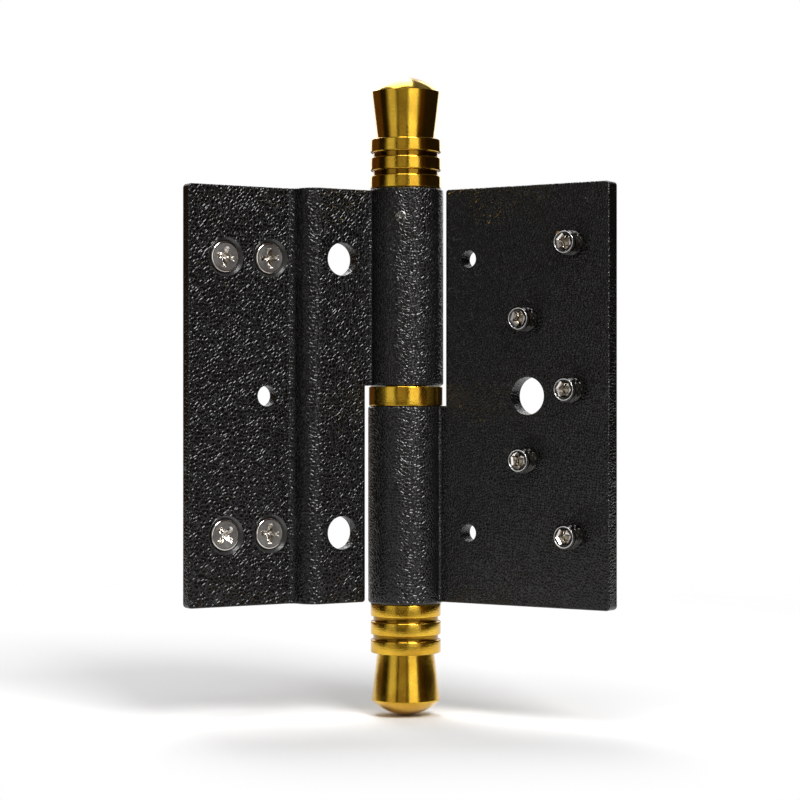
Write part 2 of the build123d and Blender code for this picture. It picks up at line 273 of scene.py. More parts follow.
class NodeSheet:
    """A material's node tree with short ways to add and join its nodes."""

    WANDER = 0.6

    def __init__(self, name: str) -> None:
        """Start a material with a plain surface shader and object coordinates.

        Args:
            name: name of the material.
        """
        self.material = bpy.data.materials.new(name)
        self.material.use_nodes = True
        self.tree = self.material.node_tree
        self.tree.nodes.clear()
        self.shader = self.tree.nodes.new("ShaderNodeBsdfPrincipled")
        self.output = self.tree.nodes.new("ShaderNodeOutputMaterial")
        self.join(self.shader.outputs["BSDF"], self.output.inputs["Surface"])
        self.place = self.tree.nodes.new("ShaderNodeTexCoord").outputs["Object"]

    def join(self, source: Socket, target: Socket) -> None:
        """Link two sockets."""
        self.tree.links.new(source, target)

    def fixed(self, **values: float | Colour) -> None:
        """Set sockets of the shader that are the same all over, by name with _ for a space.

        Args:
            values: value of each socket.
        """
        for name, value in values.items():
            socket = self.shader.inputs[name.replace("_", " ")]
            socket.default_value = (*value, 1.0) if isinstance(value, tuple) else value

    def stretched(self, scale: Triple, offset: Triple = (0.0, 0.0, 0.0)) -> Socket:
        """Object coordinates, moved and then scaled along each axis.

        Args:
            scale: factor along each axis.
            offset: point that becomes the origin.

        Returns:
            The vector socket.
        """
        node = self.tree.nodes.new("ShaderNodeMapping")
        node.inputs["Scale"].default_value = scale
        node.inputs["Location"].default_value = tuple(-o * s for o, s in zip(offset, scale))
        self.join(self.place, node.inputs["Vector"])
        return node.outputs["Vector"]

    def noise(self, size: float, detail: float = 2.0, distortion: float = 0.0,
              vector: Socket | None = None) -> Socket:
        """Cloudy noise.

        Args:
            size: size of its features in metres.
            detail: number of finer layers.
            distortion: how far the features are pulled about.
            vector: coordinates to use, the object's own if left out.

        Returns:
            The value socket, about 0 to 1.
        """
        node = self.tree.nodes.new("ShaderNodeTexNoise")
        node.inputs["Scale"].default_value = 1.0 / size
        node.inputs["Detail"].default_value = detail
        node.inputs["Distortion"].default_value = distortion
        self.join(vector or self.place, node.inputs["Vector"])
        return node.outputs["Fac"]

    def edges(self, size: float, width: float, bend: float) -> Socket:
        """Ridges along the edges of random cells, with straight flanks.

        Args:
            size: size of the cells in metres.
            width: how far a flank reaches from its edge, as a share of the size.
            bend: how far the edges wander, as a share of the size.

        Returns:
            The value socket, 1 on an edge and 0 in the middle of a cell.
        """
        wander = self.tree.nodes.new("ShaderNodeTexNoise")
        wander.inputs["Scale"].default_value = self.WANDER / size
        wander.inputs["Detail"].default_value = 0.0
        self.join(self.place, wander.inputs["Vector"])
        moved = self.tree.nodes.new("ShaderNodeVectorMath")
        moved.operation = "MULTIPLY_ADD"
        moved.inputs[1].default_value = (bend * size,) * 3
        self.join(wander.outputs["Color"], moved.inputs[0])
        self.join(self.place, moved.inputs[2])
        node = self.tree.nodes.new("ShaderNodeTexVoronoi")
        node.feature = "DISTANCE_TO_EDGE"
        node.inputs["Scale"].default_value = 1.0 / size
        self.join(moved.outputs["Vector"], node.inputs["Vector"])
        return self.spread(node.outputs["Distance"], (0.0, width), (1.0, 0.0))

    def spread(self, value: Socket, source: tuple[float, float], target: tuple[float, float]) -> Socket:
        """Map a value from one range to another, held at the ends.

        Args:
            value: value socket.
            source: range of the value.
            target: range of the result.

        Returns:
            The value socket of the result.
        """
        node = self.tree.nodes.new("ShaderNodeMapRange")
        node.inputs["From Min"].default_value, node.inputs["From Max"].default_value = source
        node.inputs["To Min"].default_value, node.inputs["To Max"].default_value = target
        self.join(value, node.inputs["Value"])
        return node.outputs["Result"]

    def combine(self, operation: str, first: Socket, second: Socket | float) -> Socket:
        """Join two values with one of Blender's maths operations.

        Args:
            operation: name of the operation.
            first: value socket.
            second: value socket or number.

        Returns:
            The value socket of the result.
        """
        node = self.tree.nodes.new("ShaderNodeMath")
        node.operation = operation
        self.join(first, node.inputs[0])
        if isinstance(second, Socket):
            self.join(second, node.inputs[1])
        else:
            node.inputs[1].default_value = second
        return node.outputs["Value"]

    def mixed(self, first: Socket, second: Socket, share: float) -> Socket:
        """A share of the first value and the rest of the second."""
        rest = self.combine("MULTIPLY", second, 1.0 - share)
        return self.combine("ADD", self.combine("MULTIPLY", first, share), rest)

    def along(self, direction: Vector) -> Socket:
        """How far a point lies along a direction from the object's origin.

        Args:
            direction: unit vector.

        Returns:
            The value socket, in metres.
        """
        node = self.tree.nodes.new("ShaderNodeVectorMath")
        node.operation = "DOT_PRODUCT"
        node.inputs[1].default_value = tuple(direction)
        self.join(self.place, node.inputs[0])
        return node.outputs["Value"]

    def blend(self, share: Socket, first: Colour, second: Socket) -> Socket:
        """A colour that runs from the first to the second as the share rises from 0 to 1.

        Args:
            share: value socket.
            first: plain colour.
            second: colour socket.

        Returns:
            The colour socket.
        """
        node = self.tree.nodes.new("ShaderNodeMix")
        node.data_type = "RGBA"
        factor, start, end = node.inputs[0], node.inputs[6], node.inputs[7]
        start.default_value = (*first, 1.0)
        self.join(share, factor)
        self.join(second, end)
        return node.outputs[2]

    def colours(self, value: Socket, stops: Sequence[tuple[float, Colour]]) -> Socket:
        """A colour that runs through the given stops as the value rises.

        Args:
            value: value socket.
            stops: position and colour of each stop, rising.

        Returns:
            The colour socket.
        """
        node = self.tree.nodes.new("ShaderNodeValToRGB")
        elements = node.color_ramp.elements
        while len(elements) < len(stops):
            elements.new(0.5)
        for element, (position, colour) in zip(elements, stops):
            element.position = position
            element.color = (*colour, 1.0)
        self.join(value, node.inputs["Fac"])
        return node.outputs["Color"]

    def relief(self, height: Socket, depth: float, under: Socket | None = None) -> Socket:
        """Surface relief.

        Args:
            height: value socket, about 0 to 1.
            depth: metres for a height of 1.
            under: another relief that this one lies on.

        Returns:
            The normal socket.
        """
        node = self.tree.nodes.new("ShaderNodeBump")
        node.inputs["Distance"].default_value = depth
        node.inputs["Strength"].default_value = 1.0
        self.join(height, node.inputs["Height"])
        if under is not None:
            self.join(under, node.inputs["Normal"])
        return node.outputs["Normal"]

    def surface(self, colour: Socket, roughness: Socket, normal: Socket) -> bpy.types.Material:
        """Join colour, roughness and normal to the shader and give the material.

        Args:
            colour: colour socket.
            roughness: value socket.
            normal: normal socket.

        Returns:
            The finished material.
        """
        self.join(colour, self.shader.inputs["Base Color"])
        self.join(roughness, self.shader.inputs["Roughness"])
        self.join(normal, self.shader.inputs["Normal"])
        return self.material


@dataclass(frozen=True)
class TexturedCoat:
    """Black powder coat with fine wrinkles whose steep flanks catch the light in short streaks."""

    name: str = "coat_textured"
    dark: Colour = (0.002, 0.002, 0.002)
    light: Colour = (0.0055, 0.0054, 0.0053)
    wrinkle: float = 0.00085
    flank: float = 0.2
    height: float = 0.000095
    bend: float = 0.1
    grain: float = 0.0006
    grain_height: float = 0.00003
    patch: float = 0.009
    patch_span: tuple[float, float] = (0.36, 0.6)
    calm: float = 0.85
    tones: tuple[float, float] = (0.15, 0.8)
    sheen_size: float = 1.4
    gloss: tuple[float, float] = (0.12, 0.2)
    shine: float = 0.36

    def build(self) -> bpy.types.Material:
        """Make the material: wrinkles and fine grain whose height varies in patches.

        Returns:
            The coat.
        """
        sheet = NodeSheet(self.name)
        wrinkles = sheet.edges(self.wrinkle, self.flank, self.bend)
        grains = sheet.noise(self.grain, detail=1.0, distortion=0.3)
        grain_share = self.grain_height / self.height
        raised = sheet.combine("ADD", wrinkles, sheet.combine("MULTIPLY", grains, grain_share))
        lively = sheet.spread(sheet.noise(self.patch, detail=2.0), self.patch_span, (self.calm, 1.0))
        relief = sheet.combine("MULTIPLY", raised, lively)
        normal = sheet.relief(relief, self.height)
        shade = sheet.colours(relief, [(self.tones[0], self.dark), (self.tones[1], self.light)])
        gloss = sheet.spread(sheet.noise(self.wrinkle * self.sheen_size), NOISE_SPAN, self.gloss)
        sheet.fixed(Specular_IOR_Level=self.shine, Metallic=0.0)
        return sheet.surface(shade, gloss, normal)


@dataclass(frozen=True)
class PolishedBrass:
    """Gold-coloured brass, turned and polished, with fine rings and a faint orange peel."""

    name: str = "brass_polished"
    deep: Colour = (0.58, 0.3, 0.014)
    bright: Colour = (0.86, 0.55, 0.045)
    tool_mark: float = 0.00016
    mark_depth: float = 0.000003
    peel: float = 0.0003
    peel_depth: float = 0.000018
    cloud: float = 0.006
    cloud_share: float = 0.6
    tones: tuple[float, float] = (0.34, 0.62)
    drawn_round: Triple = (0.03, 0.03, 1.0)
    rub: float = 0.0012
    gloss: tuple[float, float] = (0.07, 0.15)
    lacquer: float = 0.3
    lacquer_gloss: float = 0.12

    def build(self) -> bpy.types.Material:
        """Make the material: colour clouds, rings along the axis and a few rubbed places.

        Returns:
            The brass.
        """
        sheet = NodeSheet(self.name)
        rings = sheet.noise(self.tool_mark, detail=1.0, vector=sheet.stretched(self.drawn_round))
        clouds = sheet.noise(self.cloud, detail=3.0)
        rubbed = sheet.noise(self.rub, detail=3.0)
        peel = sheet.noise(self.peel, detail=2.0)
        tone = sheet.mixed(clouds, peel, self.cloud_share)
        shade = sheet.colours(tone, [(self.tones[0], self.deep), (self.tones[1], self.bright)])
        gloss = sheet.spread(rubbed, NOISE_SPAN, self.gloss)
        normal = sheet.relief(rings, self.mark_depth, under=sheet.relief(peel, self.peel_depth))
        sheet.fixed(Metallic=1.0, Coat_Weight=self.lacquer, Coat_Roughness=self.lacquer_gloss)
        return sheet.surface(shade, gloss, normal)


@dataclass(frozen=True)
class BrightSteel:
    """Bare or zinc plated steel with a fine mottle."""

    name: str
    dark: Colour
    light: Colour
    mottle: float = 0.0007
    mark_depth: float = 0.000006
    gloss: tuple[float, float] = (0.24, 0.4)
    stretch: Triple = (1.0, 1.0, 1.0)
    tones: tuple[float, float] = (0.32, 0.68)
    cloud_size: float = 6.0
    mark_share: float = 0.55

    def build(self) -> bpy.types.Material:
        """Make the material: a mottle that may be drawn out into marks of the tool.

        Returns:
            The steel.
        """
        sheet = NodeSheet(self.name)
        marks = sheet.noise(self.mottle, detail=3.0, vector=sheet.stretched(self.stretch))
        clouds = sheet.noise(self.mottle * self.cloud_size, detail=2.0)
        tone = sheet.mixed(marks, clouds, self.mark_share)
        shade = sheet.colours(tone, [(self.tones[0], self.dark), (self.tones[1], self.light)])
        gloss = sheet.spread(clouds, NOISE_SPAN, self.gloss)
        normal = sheet.relief(marks, self.mark_depth)
        sheet.fixed(Metallic=1.0)
        return sheet.surface(shade, gloss, normal)


class Finishes:
    """All finishes of the hinge, one material each."""

    def __init__(self) -> None:
        """Build the materials."""
        drawn_round = (0.04, 0.04, 1.0)
        self.coat = TexturedCoat().build()
        self.barrel_coat = TexturedCoat(
            name="coat_barrel", wrinkle=0.00072, height=0.000078, shine=0.5).build()
        self.fine_coat = TexturedCoat(
            name="coat_fine", wrinkle=0.0007, height=0.00008, calm=0.6, gloss=(0.13, 0.22), shine=0.5).build()
        self.smooth_coat = TexturedCoat(
            name="coat_smooth", dark=(0.005, 0.005, 0.005), light=(0.009, 0.009, 0.009), height=0.000012,
            grain_height=0.00001, gloss=(0.27, 0.37), shine=1.0).build()
        self.brass = PolishedBrass().build()
        # Darker brass for the collar's grooves: painted shade in the grooves, with some dirt.
        self.groove = PolishedBrass(
            name="brass_groove_dirt_and_shade", deep=(0.2, 0.1, 0.007), bright=(0.36, 0.19, 0.018), peel_depth=0.00001,
            gloss=(0.06, 0.12), lacquer=0.0).build()
        self.zinc = BrightSteel(
            "zinc_plate", (0.24, 0.238, 0.23), (0.4, 0.398, 0.386), gloss=(0.28, 0.4)).build()
        # Lighter zinc for the cross recesses, the heads' rims and the jack screws' sockets: painted
        # highlights.
        self.recess = BrightSteel(
            "zinc_painted_highlight", (0.55, 0.515, 0.475), (0.86, 0.825, 0.78), mark_depth=0.000002,
            gloss=(0.06, 0.12)).build()
        # Bright zinc for the jack screws' beads: a painted highlight ring.
        self.bright = BrightSteel(
            "zinc_bead_painted_highlight", (0.68, 0.68, 0.67), (0.88, 0.88, 0.86), mark_depth=0.000004,
            gloss=(0.1, 0.18)).build()
        # Dark steel for the jack screws' threads, face and socket mouth: painted shade.
        self.thread_shade = BrightSteel(
            "steel_painted_shade", (0.02, 0.0195, 0.019), (0.09, 0.087, 0.084), gloss=(0.1, 0.18)).build()
        self.pin = BrightSteel(
            "pin_ground", (0.4, 0.4, 0.41), (0.6, 0.6, 0.61), mottle=0.0003, stretch=drawn_round).build()
        self.bronze = BrightSteel(
            "bush_bronze", (0.42, 0.25, 0.1), (0.6, 0.4, 0.18), mottle=0.0003, stretch=drawn_round).build()
        self.spring = BrightSteel(
            "spring_steel", (0.03, 0.03, 0.028), (0.62, 0.62, 0.6), mottle=0.0009, mark_depth=0.0003,
            gloss=(0.14, 0.26), tones=(0.4, 0.58)).build()


def dress(piece: bpy.types.Object, *materials: bpy.types.Material) -> None:
    """Give a piece its materials, in the order of its faces' numbers.

    Args:
        piece: a new piece or a solid of the frame.
        materials: its finishes.
    """
    numbers = [face.material_index for face in piece.data.polygons]
    piece.data.materials.clear()
    for material in materials:
        piece.data.materials.append(material)
    piece.data.polygons.foreach_set("material_index", numbers)


def settle(piece: bpy.types.Object, body: str, slot: Slot, *materials: bpy.types.Material,
           node: str | None = None) -> None:
    """Dress a new piece and put it on its body.

    Args:
        piece: the new piece.
        body: the body that it moves with.
        slot: the record's slot that it takes its finish from; not used.
        materials: its finishes, in the order of its faces' numbers.
        node: the solid that it stands for, if there is one.
    """
    if node is not None:
        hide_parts(node)
    dress(piece, *materials)
    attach(piece, body)
    LOG.info("built %s on %s: %d faces", piece.name, body, len(piece.data.polygons))


@dataclass
class BarrelBrass:
    """The turned brass on the pin: two finials and the thrust ring."""

    barrel_end: float = 50.5
    spigot_length: float = 11.0
    spigot_r: float = 6.2
    collar_r: float = 8.6
    rib: float = 3.2
    groove: float = 1.25
    groove_r: float = 7.95
    neck_r: float = 6.95
    rim_r: float = 8.35
    flare: float = 11.4
    rim_band: float = 0.25
    cap_height: float = 4.0
    crown_share: tuple[float, float] = (0.6, 0.65)
    point_r: float = 0.4
    point_drop: float = 0.05
    edge: float = 0.35
    soft: float = 0.2
    lead_in: float = 0.8
    groove_round: float = 0.12
    neck_round: float = 0.25
    rim_round: float = 0.08
    ring_r: float = 9.0
    ring_bore_r: float = 5.0
    ring_height: float = 4.8
    segments: int = 144
    crown_steps: int = 24

    @property
    def collar_top(self) -> float:
        """Height of the collar: three ribs and two grooves."""
        return 3 * self.rib + 2 * self.groove

    def crown(self, base: float) -> list[tuple[float, float]]:
        """The crown's arc from the rim to its blunt point.

        Args:
            base: height at which the crown starts.

        Returns:
            Points of the arc.
        """
        height = self.cap_height - self.rim_band
        start = Vector((self.rim_r, base))
        middle = Vector((self.rim_r * self.crown_share[0], base + height * self.crown_share[1]))
        end = Vector((self.point_r, base + height - self.point_drop))
        centre = circle_centre(start, middle, end)
        radius = (start - centre).length
        first = math.atan2(start.y - centre.y, start.x - centre.x)
        last = math.atan2(end.y - centre.y, end.x - centre.x)
        points = []
        for step in range(self.crown_steps + 1):
            angle = first + (last - first) * step / self.crown_steps
            points.append((centre.x + radius * math.cos(angle), centre.y + radius * math.sin(angle)))
        return points

    def finial_outline(self) -> list[tuple[float, float]]:
        """The finial's outline from the foot of its spigot up to the point.

        Returns:
            Radius and height of each point.
        """
        points = [
            (self.spigot_r - self.lead_in, -self.spigot_length, 0.0),
            (self.spigot_r, -self.spigot_length + self.lead_in, self.soft),
            (self.spigot_r, 0.0, 0.0),
        ]
        height = 0.0
        for index in range(3):
            points.append((self.collar_r, height, self.edge))
            points.append((self.collar_r, height + self.rib, self.edge))
            height += self.rib
            if index < 2:
                points.append((self.groove_r, height, self.groove_round))
                points.append((self.groove_r, height + self.groove, self.groove_round))
                height += self.groove
        rim_z = self.collar_top + self.flare
        points += [
            (self.neck_r, self.collar_top, self.neck_round),
            ((self.neck_r + self.rim_r) / 2, self.collar_top + self.flare / 2, 0.0),
            (self.rim_r, rim_z, self.rim_round),
            (self.rim_r, rim_z + self.rim_band, 0.0),
        ]
        return rounded_outline(points) + self.crown(rim_z + self.rim_band)[1:]

    def finial(self, name: str, place: Matrix) -> bpy.types.Object:
        """Turn one finial.

        Args:
            name: name of the piece.
            place: from the finial's foot to the hinge's frame.

        Returns:
            The mesh object.
        """
        stack = RingStack.round(self.segments)
        outline = self.finial_outline()
        stack.close(outline[0][1])
        # Rings in the grooves take the darker brass, which paints shade and some dirt into them.
        for radius, height in outline:
            stack.add(radius, height, finish=int(self.in_groove(radius, height)))
        stack.close(outline[-1][1] + self.point_drop)
        return stack.build(name, place)

    def in_groove(self, radius: float, height: float) -> bool:
        """Whether a point of the outline lies in one of the collar's grooves."""
        return self.rib < height + self.edge < self.collar_top and radius < self.collar_r - self.edge

    def thrust_ring(self) -> bpy.types.Object:
        """Turn the ring between the knuckles.

        Returns:
            The mesh object.
        """
        half = self.ring_height / 2
        outline = rounded_outline([
            (self.ring_bore_r, 0.0, 0.0),
            (self.ring_bore_r, half, self.soft),
            (self.ring_r, half, self.edge),
            (self.ring_r, 0.0, 0.0),
            (self.ring_r, -half, self.edge),
            (self.ring_bore_r, -half, self.soft),
            (self.ring_bore_r, 0.0, 0.0),
        ])
        stack = RingStack.round(self.segments)
        stack.outline(outline)
        ring = stack.build("thrust_ring_turned", Places.FRAME_LEAF)
        weld_seam(ring)
        return ring

    def build(self, finishes: Finishes) -> None:
        """Make and place all three brass pieces.

        Args:
            finishes: the finishes of the hinge.
        """
        upright = Matrix.Translation((0, 0, self.barrel_end))
        upended = Matrix.Translation((0, 0, -self.barrel_end)) @ turned_about("X", 180.0)
        for side, node, place in (
                (Side.DOOR, "upper_finial", upright), (Side.FRAME, "lower_finial", upended)):
            finial = self.finial(f"{node}_turned", Places.of(side) @ place)
            settle(finial, side.value, Slot.BRASS, finishes.brass, finishes.groove, node=node)
        settle(self.thrust_ring(), Side.FRAME.value, Slot.BRASS, finishes.brass, node="thrust_ring")


def circle_centre(first: Vector, second: Vector, third: Vector) -> Vector:
    """Centre of the circle through three points of a plane.

    Args:
        first: a point.
        second: a point.
        third: a point.

    Returns:
        The centre.
    """
    a, b = second - first, third - first
    cross = 2.0 * (a.x * b.y - a.y * b.x)
    offset = Vector((b.y * a.length_squared - a.y * b.length_squared,
                     a.x * b.length_squared - b.x * a.length_squared)) / cross
    return first + offset


def weld_seam(piece: bpy.types.Object) -> None:
    """Merge points of a piece that lie on each other.

    Args:
        piece: the piece, changed in place.
    """
    shape = bmesh.new()
    shape.from_mesh(piece.data)
    bmesh.ops.remove_doubles(shape, verts=shape.verts, dist=1e-7)
    bmesh.ops.recalc_face_normals(shape, faces=shape.faces)
    shape.to_mesh(piece.data)
    shape.free()
    piece.data.set_sharp_from_angle(angle=math.radians(RingStack.CREASE))


@dataclass(frozen=True)
class Thread:
    """A right-hand screw thread with flat crests and roots."""

    major_r: float
    minor_r: float
    pitch: float
    crest: float = 0.16
    root: float = 0.26

    def radius(self, angle: float, height: float) -> float:
        """Radius of the thread's skin at an angle and a height.

        Args:
            angle: in radians.
            height: along the axis.

        Returns:
            The radius.
        """
        turn = (height / self.pitch - angle / (2.0 * math.pi)) % 1.0
        from_crest = abs(turn - 0.5) * 2.0
        flank = 1.0 - self.crest - self.root
        share = min(max((1.0 - self.root - from_crest) / flank, 0.0), 1.0)
        return self.minor_r + (self.major_r - self.minor_r) * share


@dataclass
class DoorScrews:
    """Four countersunk screws with a cross recess that hold the door leaf."""

    places: tuple[tuple[float, float], ...] = ((46.0, 33.0), (34.0, 33.0), (46.0, -33.0), (34.0, -33.0))
    turns: tuple[float, ...] = (-13.0, 6.0, 45.0, -3.0)
    seat_y: float = -6.8
    sink: float = 0.25
    head_r: float = 3.75
    rim: float = 0.6
    neck_r: float = 1.7
    plate: float = 3.0
    length: float = 16.0
    tip: float = 0.9
    thread: Thread = Thread(2.0, 1.52, 0.7)
    wing: float = 2.4
    half_width: float = 0.66
    soft_ends: float = 6.0
    corner_spread: float = 2.2
    recess_rings: tuple[tuple[float, float], ...] = (
        (1.05, 0.0), (1.0, 0.07), (0.86, 0.55), (0.66, 1.1), (0.4, 1.55))
    recess_depth: float = 1.9
    cone_drop: float = 2.0
    cone_round: float = 0.12
    run_out: float = 0.8
    turn_steps: int = 9
    rim_steps: int = 8
    face_steps: int = 20
    segments: int = 72
    turned_step: float = 0.39
    turned_depth: float = 0.018
    rim_round: float = 0.42
    turned_inner: float = 2.5
    clear: float = 0.02
    play: float = 0.06
    skin: float = 0.012
    lip: float = 0.03
    under: float = 0.05

    def recess(self, share: float) -> Callable[[float], float]:
        """Outline of the cross as a radius over the angle.

        Args:
            share: size of the cross against its size at the mouth.

        Returns:
            A function from angle to radius.
        """
        reach, half = self.wing * share, self.half_width * share

        def radius(angle: float) -> float:
            """Radius of the cross at one angle.

            Args:
                angle: in radians.

            Returns:
                The radius.
            """
            quarter = (angle + math.pi / 4) % (math.pi / 2) - math.pi / 4
            along, across = abs(math.cos(quarter)), abs(math.sin(quarter))
            end = reach / along
            side = half / max(across, 1e-6)
            return (end ** -self.soft_ends + side ** -self.soft_ends) ** (-1.0 / self.soft_ends)
        return radius

    def angles(self) -> list[float]:
        """Angles of the head's points: even ones and the corners of the cross.

        Returns:
            The angles, rising.
        """
        corner = math.atan2(self.half_width, self.wing)
        beside = corner * self.corner_spread
        found = {round(2.0 * math.pi * index / self.segments, 6) for index in range(self.segments)}
        for quarter in range(4):
            middle = quarter * math.pi / 2
            for offset in (-corner, corner, math.pi / 4, beside, -beside):
                found.add(round((middle + offset) % (2.0 * math.pi), 6))
        return sorted(found)

    def shank_radius(self, height: float) -> Callable[[float], float]:
        """Radius of the threaded shank over the angle at one height.

        Args:
            height: along the axis.

        Returns:
            A function from angle to radius.
        """
        foot = -self.sink - self.length

        def radius(angle: float) -> float:
            """Thread, cut back at its start and at the tip.

            Args:
                angle: in radians.

            Returns:
                The radius.
            """
            start = smooth_step(-self.plate + self.clear, -self.plate - self.run_out, height)
            body = self.neck_r + (self.thread.radius(angle, height) - self.neck_r) * start
            return min(body, self.thread.major_r - self.tip + (height - foot))
        return radius

    def screw(self, name: str, place: Matrix) -> bpy.types.Object:
        """Make one screw, head up.

        Args:
            name: name of the piece.
            place: from the leaf's face at the screw to the hinge's frame.

        Returns:
            The mesh object.
        """
        top = -self.sink
        foot = top - self.length
        cone_top = top - self.rim
        stack = RingStack(self.angles())
        stack.close(foot)
        levels = int((self.length - self.plate) / self.thread.pitch * self.turn_steps)
        for level in range(levels + 1):
            height = foot + (-self.plate - foot) * level / levels
            stack.add(self.shank_radius(height), height)
        stack.add(self.neck_r, cone_top - self.head_r + self.neck_r)
        side, below = (self.head_r, cone_top), (self.neck_r, cone_top - self.cone_drop)
        stack.outline(rounded(side, below, (self.head_r, top), self.cone_round))
        # The rounded rim takes the lighter zinc, a painted highlight.
        stack.outline(rounded((self.head_r, top), side, (0.0, top), self.rim_round, self.rim_steps), finish=1)
        for radius, drop in self.face_rings():
            stack.add(radius, top - drop)
        # The recess walls take the lighter zinc: painted highlights.
        for share, depth in self.recess_rings:
            stack.add(self.recess(share), top - depth, finish=int(depth > 0))
        stack.close(top - self.recess_depth, finish=1)
        return stack.build(name, place, crease=28.0)

    def face_rings(self) -> list[tuple[float, float]]:
        """Radius and depth of the shallow rings that turning left on the head.

        Returns:
            The rings, from the rim inwards.
        """
        outer = self.head_r - self.rim_round - self.under
        rings = []
        for step in range(self.face_steps + 1):
            radius = outer + (self.turned_inner - outer) * step / self.face_steps
            wave = 0.5 - 0.5 * math.cos(2.0 * math.pi * (outer - radius) / self.turned_step)
            rings.append((radius, self.turned_depth * wave))
        return rings + [(self.turned_inner - self.skin, 0.0)]

    def countersink(self, name: str, place: Matrix) -> bpy.types.Object:
        """The smooth coating on the cone around one head.

        Args:
            name: name of the piece.
            place: from the leaf's face at the screw to the hinge's frame.

        Returns:
            The mesh object, a thin closed ring.
        """
        cone_top = self.sink + self.rim
        inner = (self.head_r + self.play, -cone_top)
        outer = (self.head_r + self.play + cone_top, 0.0)
        corners = [(inner[0] - self.skin, inner[1] + self.skin),
                   (outer[0] - self.skin, outer[1] + self.skin),
                   (outer[0] + self.under, outer[1] - self.lip),
                   (inner[0] + self.under, inner[1] - self.under)]
        stack = RingStack.round(self.segments)
        stack.outline(corners + corners[:1])
        ring = stack.build(name, place)
        weld_seam(ring)
        return ring

    def build(self, finishes: Finishes) -> None:
        """Make and place the four screws and the coating of their countersinks.

        Args:
            finishes: the finishes of the hinge.
        """
        for number, ((column, row), turn) in enumerate(zip(self.places, self.turns), start=1):
            place = (Places.DOOR_LEAF @ Matrix.Translation((column, self.seat_y, row))
                     @ turned_about("X", -90.0) @ turned_about("Z", turn))
            node = f"door_screw_{number}"
            screw = self.screw(f"{node}_threaded", place)
            settle(screw, Side.DOOR.value, Slot.ZINC, finishes.zinc, finishes.recess, node=node)
            coating = self.countersink(f"door_leaf_countersink_{number}", place)
            settle(coating, Side.DOOR.value, Slot.COAT, finishes.smooth_coat)


@dataclass
class JackScrews:
    """Five headless screws with hexagon sockets that stand out of the frame leaf."""

    places: tuple[tuple[float, float], ...] = (
        (46.0, 35.9), (33.6, 18.25), (46.0, 1.5), (33.6, -15.25), (46.0, -32.9))
    turns: tuple[float, ...] = (12.0, 40.0, 25.0, 5.0, 33.0)
    back_y: float = 5.0
    length: float = 8.0
    thread: Thread = Thread(3.0, 2.45, 1.0)
    chamfer: float = 0.33
    land_r: float = 2.95
    land: float = 0.8
    run_out: float = 0.3
    clear: float = 0.02
    bead: float = 0.3
    bead_round: float = 0.14
    bead_foot: float = 0.12
    face_drop: float = 0.2
    key: float = 3.0
    key_depth: float = 3.4
    mouth: float = 1.22
    mouth_depth: float = 0.45
    drill_depth: float = 0.9
    cup_r: float = 1.5
    cup_depth: float = 0.8
    turn_steps: int = 12
    segments: int = 72

    def hexagon(self, angle: float) -> float:
        """Radius of the hexagon socket's wall at an angle."""
        sector = (angle + math.pi / 6) % (math.pi / 3) - math.pi / 6
        return self.key / 2 / math.cos(sector)

    def mouth_wall(self, angle: float) -> float:
        """Radius of the socket's flared mouth at an angle."""
        return self.hexagon(angle) * self.mouth

    def skin(self, height: float) -> Callable[[float], float]:
        """Radius over the angle at one height: a chamfer, thread and a plain land at the socket.

        Args:
            height: along the axis.

        Returns:
            A function from angle to radius.
        """
        low = self.thread.major_r - self.chamfer + height
        plain = smooth_step(self.length - self.land - self.run_out, self.length - self.land, height)

        def radius(angle: float) -> float:
            """Radius of the skin at one angle."""
            cut = self.thread.radius(angle, height)
            return min(cut + (self.land_r - cut) * plain, low)
        return radius

    def screw(self, name: str, place: Matrix) -> bpy.types.Object:
        """Make one screw, socket up.

        Args:
            name: name of the piece.
            place: from the leaf's back at the screw to the hinge's frame.

        Returns:
            The mesh object.
        """
        stack = RingStack.round(self.segments)
        stack.close(self.cup_depth)
        stack.add(self.cup_r, 0.0)
        levels = int(self.length / self.thread.pitch * self.turn_steps)
        chamfer_foot = self.length - self.chamfer
        for level in range(levels + 1):
            height = chamfer_foot * level / levels
            # Thread and chamfer take the dark steel: painted shade.
            stack.add(self.skin(height), height, finish=1)
        edge_r = self.land_r - self.chamfer
        stack.add(edge_r + self.clear, self.length - self.bead_foot, finish=1)
        crest, inside = (edge_r, self.length), (edge_r - self.bead, self.length)
        # The bead keeps the bright zinc: a painted highlight ring.
        stack.outline(rounded(crest, (edge_r, chamfer_foot), inside, self.bead_round))
        stack.outline(rounded(inside, crest, (edge_r - self.bead, chamfer_foot), self.bead_round))
        face = self.length - self.face_drop
        # Face and socket mouth take the dark steel, a painted shade; the hexagon takes the lighter zinc,
        # painted highlights.
        stack.add(edge_r - self.bead - self.clear, face, finish=1)
        stack.add(self.mouth_wall, face - self.clear, finish=1)
        stack.add(self.hexagon, face - self.mouth_depth, finish=2)
        floor = self.length - self.key_depth
        stack.add(self.hexagon, floor, finish=2)
        stack.add(self.key / 2 - self.clear, floor, finish=2)
        stack.close(floor - self.drill_depth, finish=2)
        return stack.build(name, place, crease=26.0)

    def build(self, finishes: Finishes) -> None:
        """Make and place the five screws, each on its own body.

        Args:
            finishes: the finishes of the hinge.
        """
        for number, ((column, row), turn) in enumerate(zip(self.places, self.turns), start=1):
            place = (Places.FRAME_LEAF @ Matrix.Translation((column, self.back_y, row))
                     @ turned_about("X", 90.0) @ turned_about("Z", turn))
            node = f"jack_screw_{number}"
            screw = self.screw(f"{node}_threaded", place)
            settle(screw, node, Slot.ZINC, finishes.bright, finishes.thread_shade, finishes.recess, node=node)


